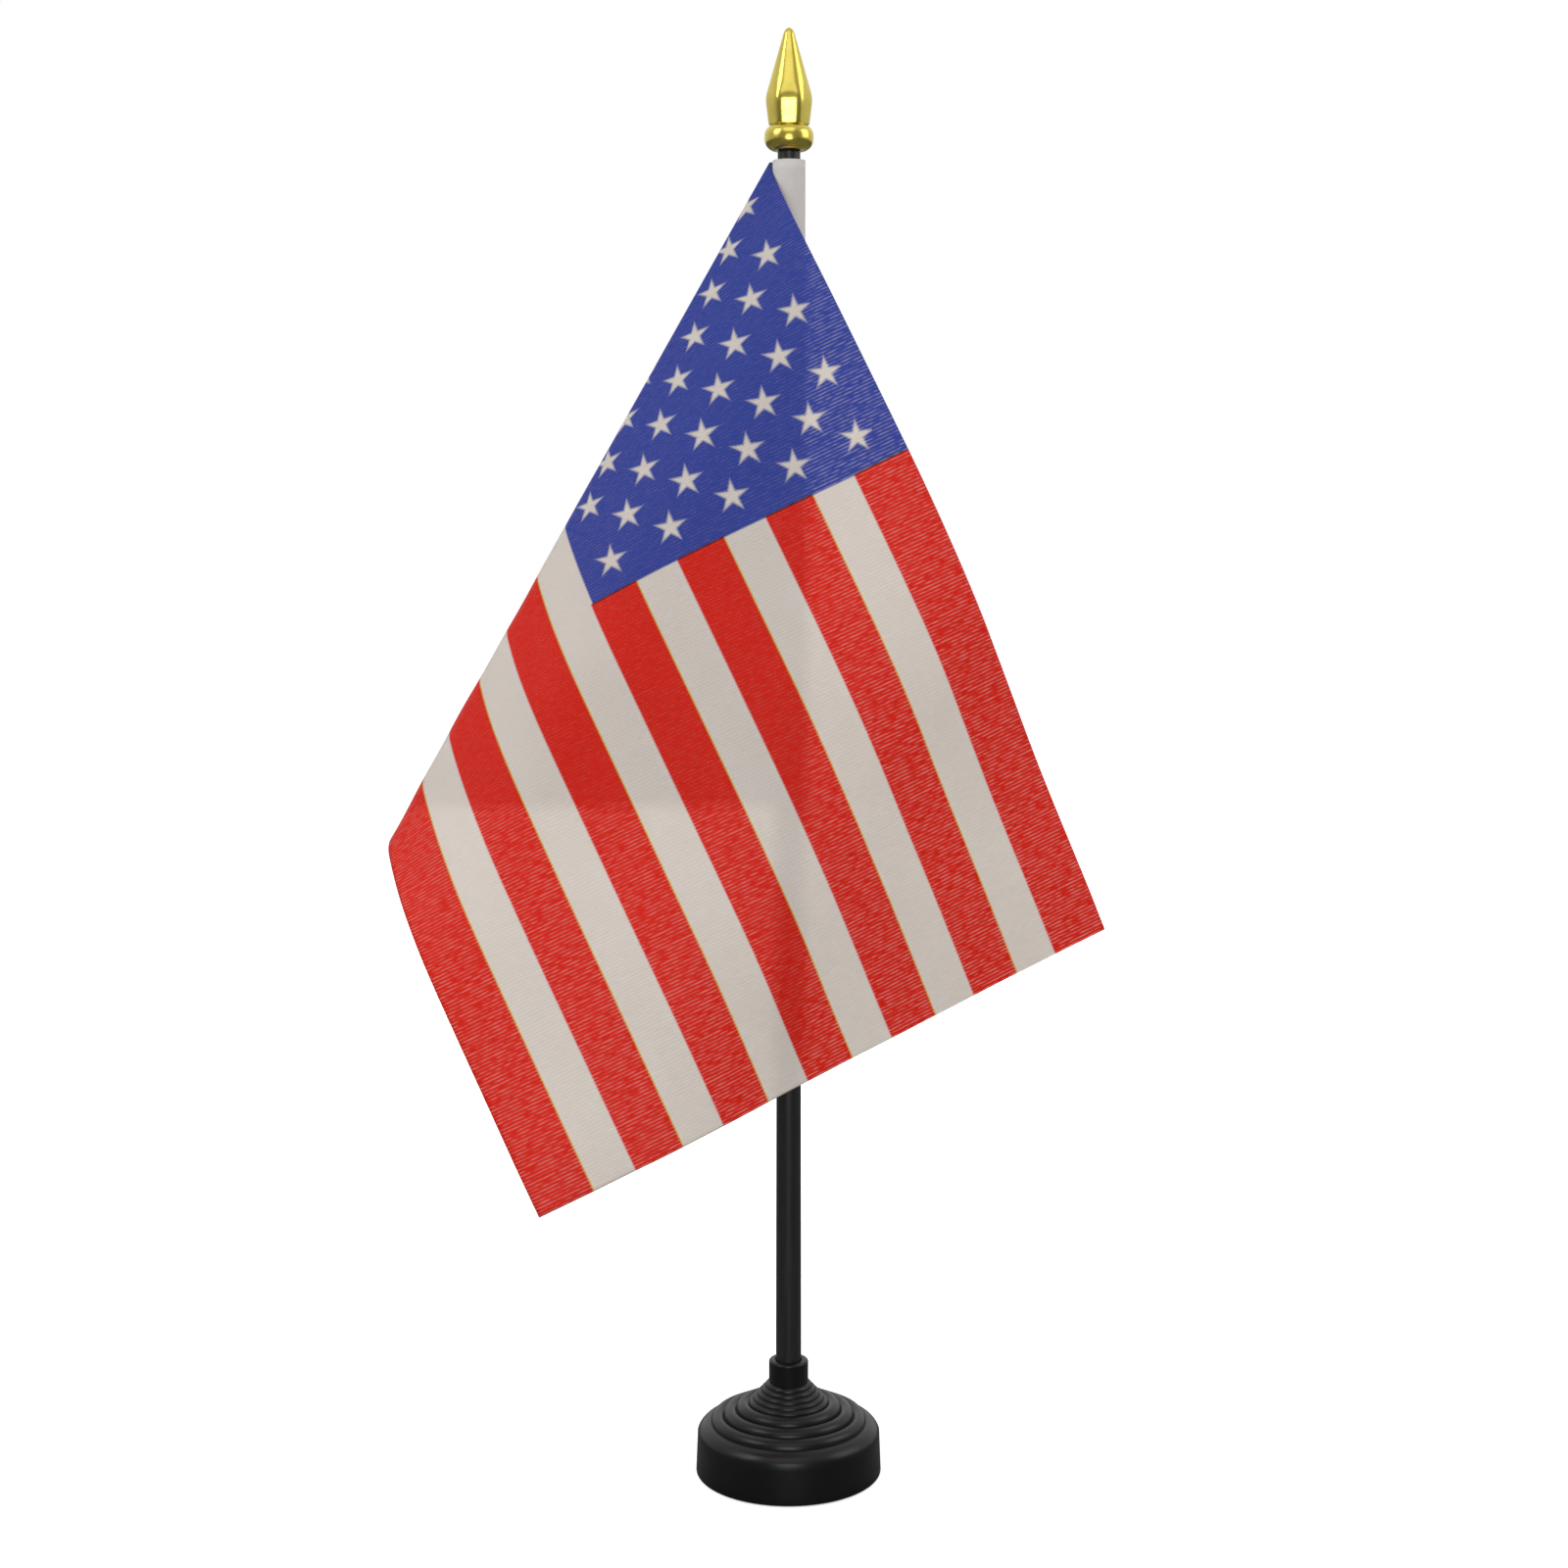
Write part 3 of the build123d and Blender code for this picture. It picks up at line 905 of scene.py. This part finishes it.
def satin(name, density, gap_depth, gap_floor, glow_share):
    """The printed satin as seen from one side. gap_depth is how open the gaps are, and
    gap_floor how much light the threads themselves let through. Light through the threads takes
    glow_share of the print's colour, and light through the gaps stays white."""
    cloth = new_material(name)
    place, colour = printed_colour(cloth, density)
    phase = add(
        cloth,
        "VectorMath",
        {0: place, 1: (2 * np.pi / RIB_PITCH, 2 * np.pi / PICK_PITCH, 0)},
        operation="MULTIPLY",
    )
    threads = add(cloth, "VectorMath", {0: phase}, operation="SINE")
    threads = add(cloth, "SeparateXYZ", {0: threads})
    stretched = add(
        cloth,
        "VectorMath",
        {0: place, 1: (1 / FLECK[0], 1 / FLECK[1], 0)},
        operation="MULTIPLY",
    )
    fleck = add(cloth, "TexNoise", {"Vector": stretched, "Scale": 1.0, "Detail": 1.5})
    gaps = add(
        cloth,
        "MapRange",
        {"Value": fleck, "From Min": 0.34, "From Max": 0.72, "To Max": gap_depth},
    )
    rib = add(
        cloth,
        "MapRange",
        {"Value": threads.outputs["X"], "From Min": -0.4, "From Max": 1.0, "To Min": 0.0},
    )
    gaps = add(cloth, "Math", {0: gaps, 1: rib}, operation="MULTIPLY")
    open_share = add(cloth, "Math", {0: gaps, 1: gap_floor}, operation="ADD")

    slow = add(cloth, "TexNoise", {"Vector": place, "Scale": 0.09, "Detail": 2.0})
    tone = add(
        cloth,
        "MapRange",
        {"Value": slow, "From Min": 0.3, "From Max": 0.7, "To Min": 0.0, "To Max": 0.10},
    )
    colour = add(
        cloth,
        "MixRGB",
        {"Fac": tone, "Color1": colour, "Color2": CLOTH_WHITE},
        blend_type="MULTIPLY",
    )
    height = add(
        cloth, "Math", {0: threads.outputs["Y"], 1: 0.35, 2: threads.outputs["X"]},
        operation="MULTIPLY_ADD",
    )
    height = add(cloth, "Math", {0: fleck, 1: 2.5, 2: height}, operation="MULTIPLY_ADD")
    relief = add(cloth, "Bump", {"Strength": 0.35, "Distance": 0.03 * MM, "Height": height})
    threads_surface = add(
        cloth,
        "BsdfPrincipled",
        {
            "Base Color": colour,
            "Roughness": 0.52,
            "Specular IOR Level": 0.14,
            "Sheen Weight": 0.04,
            "Sheen Roughness": 0.45,
            "Sheen Tint": (1.0, 0.97, 0.95, 1.0),
            "Normal": relief,
        },
    )
    in_threads = add(
        cloth,
        "MapRange",
        {"Value": gaps, "From Max": 0.07, "To Min": glow_share, "To Max": 0.0},
    )
    between = add(
        cloth,
        "MixRGB",
        {"Fac": in_threads, "Color1": linear("#F4ECE8"), "Color2": colour},
    )
    light_between = add(cloth, "BsdfTranslucent", {"Color": between})
    mixed = add(
        cloth, "MixShader", {"Fac": open_share, 1: threads_surface, 2: light_between}
    )
    add(cloth, "OutputMaterial", {"Surface": mixed})
    return cloth


CLOTH_THICKNESS = 0.18
printed_face = satin("printed_polyester_satin", 1.0, 0.125, 0.22, 1.0)
printed_reverse = satin("satin_reverse_show_through", 0.86, 0.10, 0.50, 0.0)

flag = piece_from_grid(
    "printed_flag",
    [sheet_points],
    [printed_face, printed_reverse],
    closed=False,
    solid=False,
    crease=60,
    flat_grids=[sheet_flat * MM],
)
first_face = np.array(flag.data.polygons[0].normal)
if first_face @ sheet_normals[0, 0] < 0:
    flag.data.flip_normals()
thicken = flag.modifiers.new("cloth thickness", "SOLIDIFY")
thicken.thickness = CLOTH_THICKNESS * MM
thicken.offset = 0.0
thicken.material_offset = 1
thicken.material_offset_rim = 1
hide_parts("flag_cloth")
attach(flag, "flag")

# %% [markdown]
# ## White satin and thread
#
# The hoist end of the cloth isn't printed. It is turned round the stick and sewn down, which
# makes the sleeve. The same weave shows as faint ribs, and the sewing thread is a twist of
# polyester with a soft shine.

# %% White satin
white_satin = new_material("unprinted_polyester_satin")
place = add(white_satin, "TexCoord").outputs["Object"]
along_ribs = add(white_satin, "Mapping", {"Vector": place, "Scale": (1.0, 1.0, 0.3)})
fleck = add(
    white_satin, "TexNoise", {"Vector": along_ribs, "Scale": 1 / (FLECK[0] * MM), "Detail": 2.0}
)
# Painted shade: the weave is painted darker where its bump is low, in the grooves between the ribs.
painted_groove_shade = add(
    white_satin,
    "MixRGB",
    {"Fac": fleck, "Color1": linear("#DCD8D4"), "Color2": linear("#EAE6E3")},
)
relief = add(white_satin, "Bump", {"Strength": 0.35, "Distance": 0.03 * MM, "Height": fleck})
threads_surface = add(
    white_satin,
    "BsdfPrincipled",
    {
        "Base Color": painted_groove_shade,
        "Roughness": 0.55,
        "Specular IOR Level": 0.28,
        "Sheen Weight": 0.2,
        "Sheen Roughness": 0.45,
        "Normal": relief,
    },
)
light_between = add(white_satin, "BsdfTranslucent", {"Color": linear("#EDE8E4")})
mixed = add(white_satin, "MixShader", {"Fac": 0.2, 1: threads_surface, 2: light_between})
add(white_satin, "OutputMaterial", {"Surface": mixed})

# %% Sleeve
sleeve_low, sleeve_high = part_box("flag_sleeve")
sleeve_radius = sleeve_high.x / MM
sleeve_wall = 0.2
columns = 96
around = np.linspace(0, 2 * np.pi, columns, endpoint=False)
heights = np.linspace(sleeve_low.z / MM, sleeve_high.z / MM, 90)
# The cloth's slack moves in and out a few hundredths of a millimetre as it goes round.
slack = 0.035 * np.sin(3 * around[None, :] + heights[:, None] / 9) + 0.02 * np.sin(
    5 * around[None, :] - heights[:, None] / 5
)
outside = sleeve_radius - 0.06 + slack
walls = []
for radius, rows in ((outside, slice(None)), (outside - sleeve_wall, slice(None, None, -1))):
    tube = np.stack(
        [
            radius * np.cos(around),
            radius * np.sin(around),
            heights[:, None] + np.zeros(columns),
        ],
        axis=-1,
    )
    walls.append(tube[rows])
tube_grid = np.concatenate([*walls, walls[0][:1]])
sleeve = piece_from_grid("loose_sleeve", [tube_grid], [white_satin])
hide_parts("flag_sleeve")
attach(sleeve, "sleeve")

# %% [markdown]
# ## The turn of the hoist
#
# The outer turn of the sleeve belongs to the flag. It leaves the back layer at the seam, goes
# round the stick outside the sleeve's tube and ends under the seam again. It is a strip carried
# along a plan outline: a short straight flank from the seam, then most of a circle. It turns
# with the cloth, so the tube inside stays where it is while the flag swings.

# %% Hoist turn
turn_radius = sleeve_radius + 0.22
seam_inset = 2.0
seam_top, seam_normal = fan_sheet(np.array([seam_inset]), np.array([0.0]))
seam_plan = seam_top[0, :2] - seam_normal[0, :2] * 0.12
away = np.arctan2(seam_plan[1], seam_plan[0])
touch = away - np.arccos(turn_radius / np.hypot(*seam_plan))
sweep = np.linspace(0, np.radians(-292), 90)
circle = turn_radius * np.stack([np.cos(touch + sweep), np.sin(touch + sweep)], axis=-1)
flank = straight(seam_plan, circle[0], 6)[:-1]
outline = np.concatenate([flank, circle])
heights = np.linspace(flag_top, flag_top - hoist, 70)
turn_grid = np.concatenate(
    [
        np.broadcast_to(outline[None, :, :], (len(heights), len(outline), 2)),
        np.broadcast_to(heights[:, None, None], (len(heights), len(outline), 1)),
    ],
    axis=-1,
)
hoist_turn = piece_from_grid(
    "hoist_turn", [turn_grid], [white_satin], closed=False, solid=False, crease=60
)
thicken = hoist_turn.modifiers.new("cloth thickness", "SOLIDIFY")
thicken.thickness = CLOTH_THICKNESS * MM
thicken.offset = 0.0
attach(hoist_turn, "flag")

# %% [markdown]
# ## The seam
#
# A machine's lockstitch leaves a row of short raised stitches on each side of the cloth. Each
# thread lies on the surface and dives into the same holes, one stitch length apart. A tube
# along a path does it: the path's height above the cloth is the square root of a rectified
# sine, which stands up quickly at each hole and is flat between them.

# %% Sewing thread
TWIST = 0.25 * MM

sewing_thread = new_material("twisted_polyester_thread")
place = add(sewing_thread, "TexCoord").outputs["Object"]
turned_place = add(sewing_thread, "Mapping", {"Vector": place, "Rotation": (0.6, 0.0, 0.5)})
strands = add(
    sewing_thread,
    "TexWave",
    {"Vector": turned_place, "Scale": 0.314 / TWIST},
    bands_direction="Z",
)
# Painted shade: the strands are painted darker in the grooves of the twist, where the bump is low.
painted_groove_shade = add(
    sewing_thread,
    "MixRGB",
    {"Fac": strands, "Color1": linear("#CFCBC6"), "Color2": linear("#EFECE8")},
)
relief = add(sewing_thread, "Bump", {"Strength": 0.5, "Distance": 0.04 * MM, "Height": strands})
surface = add(
    sewing_thread,
    "BsdfPrincipled",
    {"Base Color": painted_groove_shade, "Roughness": 0.48, "Sheen Weight": 0.2, "Normal": relief},
)
add(sewing_thread, "OutputMaterial", {"Surface": surface})

# %% Seam stitches
stitch_count, stitch_pitch = 52, 2.6
thread_radius, loop_height = 0.17, 0.26
rows_per_stitch, sides = 12, 8
seam_margin = (hoist - stitch_count * stitch_pitch) / 2
down = np.linspace(0, stitch_count * stitch_pitch, stitch_count * rows_per_stitch + 1)
line, normal = fan_sheet(np.full(len(down), seam_inset), seam_margin + down)
rise = loop_height * np.abs(np.sin(np.pi * down / stitch_pitch)) ** 0.5
turn = np.linspace(0, 2 * np.pi, sides, endpoint=False)
thread_grids = []
for side in (1, -1):
    path = line + normal * (side * rise)[:, None]
    forward = np.gradient(path, axis=0)
    forward /= np.linalg.norm(forward, axis=1, keepdims=True)
    beside = np.cross(forward, normal)
    beside /= np.linalg.norm(beside, axis=1, keepdims=True)
    above = np.cross(beside, forward)
    ring = (
        beside[:, None, :] * np.cos(turn)[None, :, None]
        + above[:, None, :] * np.sin(turn)[None, :, None]
    )
    tube = path[:, None, :] + thread_radius * ring
    ends = [np.broadcast_to(path[i], tube[:1].shape) for i in (0, -1)]
    thread_grids.append(np.concatenate([ends[0], tube, ends[1]]))
seam = piece_from_grid("seam_thread", thread_grids, [sewing_thread])
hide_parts("seam_stitches")
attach(seam, "flag")

# %% [markdown]
# ## The cloth's cut
#
# The printed sheet was cut 200 mm along the fly and 140 mm along the hoist. The turn and the
# tube are narrow strips of the same cloth.

# %% [markdown]
# ## Studio
#
# The stand is lit like a catalogue picture: a pale table, a surround that is brighter behind
# and above than in front, and a few soft boxes. The black plastic and the gold show what they
# mirror, so the boxes are placed for them: one on the left and a larger one on the right draw
# the highlights on the rings, one overhead fills the upper faces of the spearhead, and one
# behind the camera fills its lower face. A small light behind the cloth shines through the
# weave.

# %% Table
table_size = 6.0
table_mesh = bpy.data.meshes.new("table")
half = table_size / 2
table_mesh.from_pydata(
    [(-half, -half, 0), (half, -half, 0), (half, half, 0), (-half, half, 0)], [], [(0, 1, 2, 3)]
)
table = bpy.data.objects.new("table", table_mesh)
bpy.context.scene.collection.objects.link(table)
pale_table = new_material("pale_table")
seen = add(pale_table, "LightPath").outputs["Is Camera Ray"]
white_top = add(pale_table, "BsdfDiffuse", {"Color": (0.9, 0.9, 0.9, 1.0)})
grey_top = add(pale_table, "BsdfDiffuse", {"Color": (0.16, 0.16, 0.16, 1.0)})
glow = add(pale_table, "Emission", {"Color": (1, 1, 1, 1), "Strength": 0.55})
lit_top = add(pale_table, "AddShader", {0: white_top, 1: glow})
top = add(pale_table, "MixShader", {"Fac": seen, 1: grey_top, 2: lit_top})
add(pale_table, "OutputMaterial", {"Surface": top})
table_mesh.materials.append(pale_table)

# %% Surround
world = bpy.data.worlds.new("studio")
bpy.context.scene.world = world
world.use_nodes = True
world.node_tree.nodes.clear()
seen = add(world, "LightPath").outputs["Is Camera Ray"]
direction = add(world, "TexCoord").outputs["Generated"]
lean = add(world, "VectorMath", {0: direction, 1: (0.0, 0.8, 0.6)}, operation="DOT_PRODUCT")
brightness = add(
    world,
    "MapRange",
    {"Value": lean.outputs["Value"], "From Min": -0.5, "From Max": 0.8, "To Min": 0.28, "To Max": 0.9},
)
room = add(world, "Background", {"Color": (1, 1, 1, 1), "Strength": brightness})
backdrop = add(world, "Background", {"Color": (1, 1, 1, 1), "Strength": 1.0})
surround = add(world, "MixShader", {"Fac": seen, 1: room, 2: backdrop})
add(world, "OutputWorld", {"Surface": surround})


# %% Soft boxes
def soft_box(name, azimuth, elevation, distance, size, radiance, aim_height=0.2, glossy=True):
    """An area light that faces the stand. Azimuth 0 is on the viewer's side and 90 to the
    right. A panel's power is its radiance times pi times its area."""
    light = bpy.data.lights.new(name, "AREA")
    light.shape = "RECTANGLE"
    light.size, light.size_y = size
    light.energy = radiance * np.pi * size[0] * size[1]
    lamp = bpy.data.objects.new(name, light)
    bpy.context.scene.collection.objects.link(lamp)
    azimuth, elevation = np.radians(azimuth), np.radians(elevation)
    lamp.location = (
        distance * np.sin(azimuth) * np.cos(elevation),
        -distance * np.cos(azimuth) * np.cos(elevation),
        aim_height + distance * np.sin(elevation),
    )
    lamp.rotation_euler = (np.pi / 2 - elevation, 0, azimuth)
    lamp.visible_camera = False
    lamp.visible_glossy = glossy
    return lamp


soft_box("left_box", -62, 34, 0.85, (0.32, 0.45), 4.4)
soft_box("right_box", 84, 26, 1.0, (0.60, 0.60), 2.0)
soft_box("overhead_box", 0, 48, 1.1, (0.85, 0.75), 0.95)
soft_box("front_box", 0, -2, 1.2, (0.50, 0.42), 5.8, aim_height=0.24)
soft_box("behind_cloth", 180, -6, 0.8, (0.05, 0.05), 680.0, glossy=False)

# %% [markdown]
# ## Camera
#
# The viewer looks down on the stand a little, from about half a metre. The lens is shifted so
# that the whole stand fits the square frame while the camera's tilt stays right.

# %% Camera
camera_data = bpy.data.cameras.new("camera")
camera_data.sensor_width = 36.0
camera_data.lens = 56.32
camera_data.shift_y = 0.0872
camera_data.clip_start = 0.01
camera = bpy.data.objects.new("camera", camera_data)
bpy.context.scene.collection.objects.link(camera)
camera.location = (-0.0011, -0.56198, 0.2401)
camera.rotation_euler = (np.radians(79.48), 0, np.radians(0.0))
bpy.context.scene.camera = camera
bpy.context.scene.view_settings.view_transform = "Standard"
